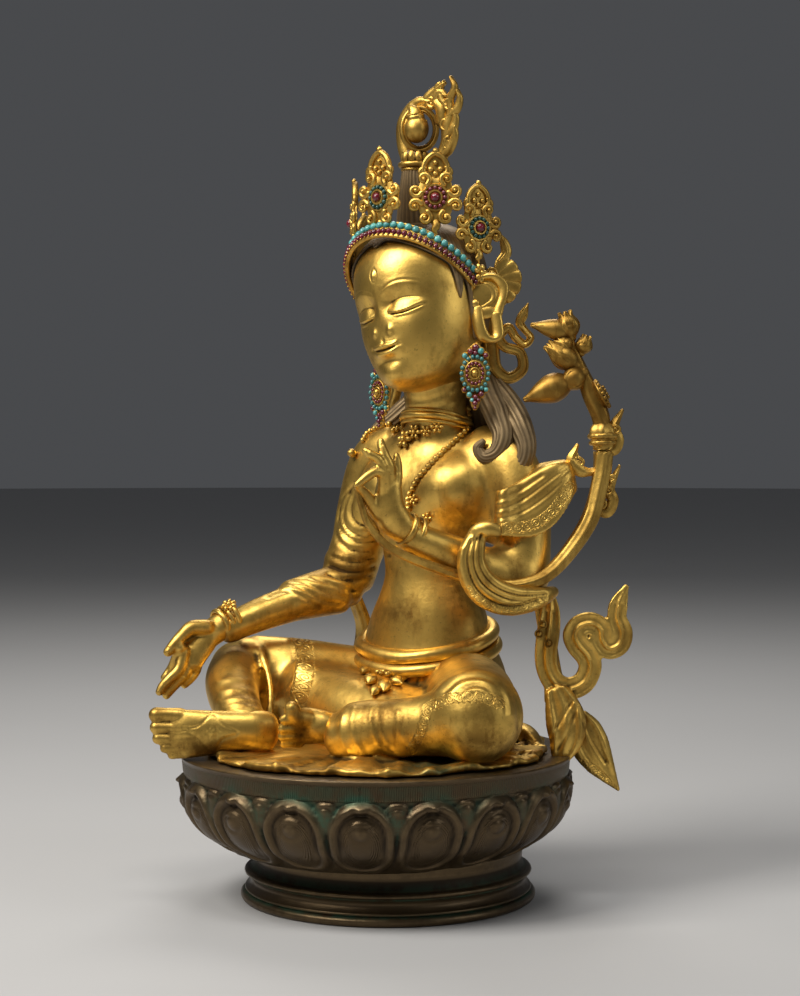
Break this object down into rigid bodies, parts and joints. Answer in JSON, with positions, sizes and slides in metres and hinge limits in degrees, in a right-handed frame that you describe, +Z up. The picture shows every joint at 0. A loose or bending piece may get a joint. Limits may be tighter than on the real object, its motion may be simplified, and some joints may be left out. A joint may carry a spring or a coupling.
{
  "type": "seated tara figure on a lotus plinth",
  "caption": "Gilt cast copper goddess seated at ease on a round dark bronze lotus plinth, with inlaid crown and earrings, a lotus spray and fluttering scarf ends.",
  "frame": {"origin": "centre of the plinth's flat underside, on the axis of its turned foot", "axes": "+Z up, the figure looks towards -Y, its own left hand is on the +X side"},
  "size_m": [0.2496, 0.2358, 0.4912],
  "materials": {
    "gilt_copper": "fire-gilt, satin, rubbed brighter on high places, brown in the recesses",
    "worn_gilt": "gilding worn to brown patina",
    "dark_bronze": "dark brown patina with green in the recesses, satin",
    "turquoise": "opaque polished stone inlay",
    "garnet": "opaque dark red polished inlay",
    "painted_hair": "grey-brown pigment over copper, dull"
  },
  "bodies": {
    "root": {"lotus_plinth": "dark_bronze", "figure": "gilt_copper", "crown": "gilt_copper", "topknot_jewel": "gilt_copper", "earring_left": "turquoise", "earring_right": "turquoise", "crown_ribbon_left": "gilt_copper", "crown_ribbon_right": "gilt_copper", "lotus_stem": "gilt_copper", "lotus_blooms": "worn_gilt", "scarf_end_left": "gilt_copper", "scarf_end_right": "gilt_copper"}
  },
  "joints": []
}
